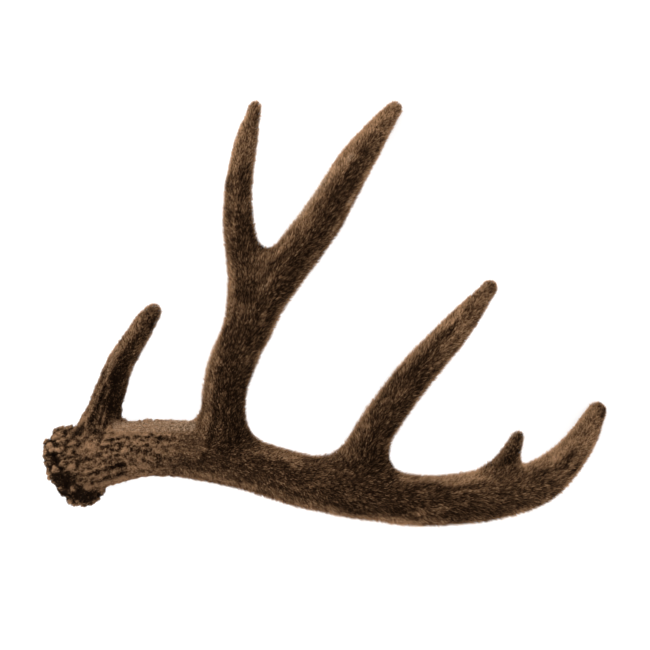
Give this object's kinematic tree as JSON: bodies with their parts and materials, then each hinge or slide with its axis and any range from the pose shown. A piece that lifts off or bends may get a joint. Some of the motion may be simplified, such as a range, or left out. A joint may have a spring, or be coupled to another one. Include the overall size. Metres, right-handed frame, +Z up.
{
  "type": "deer antler",
  "caption": "Deer antler in velvet, lying on its inner side: knobbed burr, arched main beam, brow tine, forked second tine, long third tine and a short fourth one.",
  "frame": {"origin": "on the surface that the antler lies on, under the middle of its bounding box", "axes": "+X along the main beam, from the burr to the beam's tip; +Y the way the tines point; +Z up, out of the outer side of the antler's curve"},
  "size_m": [0.4716, 0.3518, 0.1134],
  "materials": {
    "velvet": "short dense fur, matt, dark brown with paler tan edges; bare and gnarled near the burr"
  },
  "bodies": {
    "root": {"burr": "velvet", "brow_tine": "velvet", "lower_beam": "velvet", "second_tine_stem": "velvet", "rear_prong": "velvet", "front_prong": "velvet", "middle_beam": "velvet", "third_tine": "velvet", "upper_beam": "velvet", "fourth_tine": "velvet", "beam_tip": "velvet"}
  },
  "joints": []
}
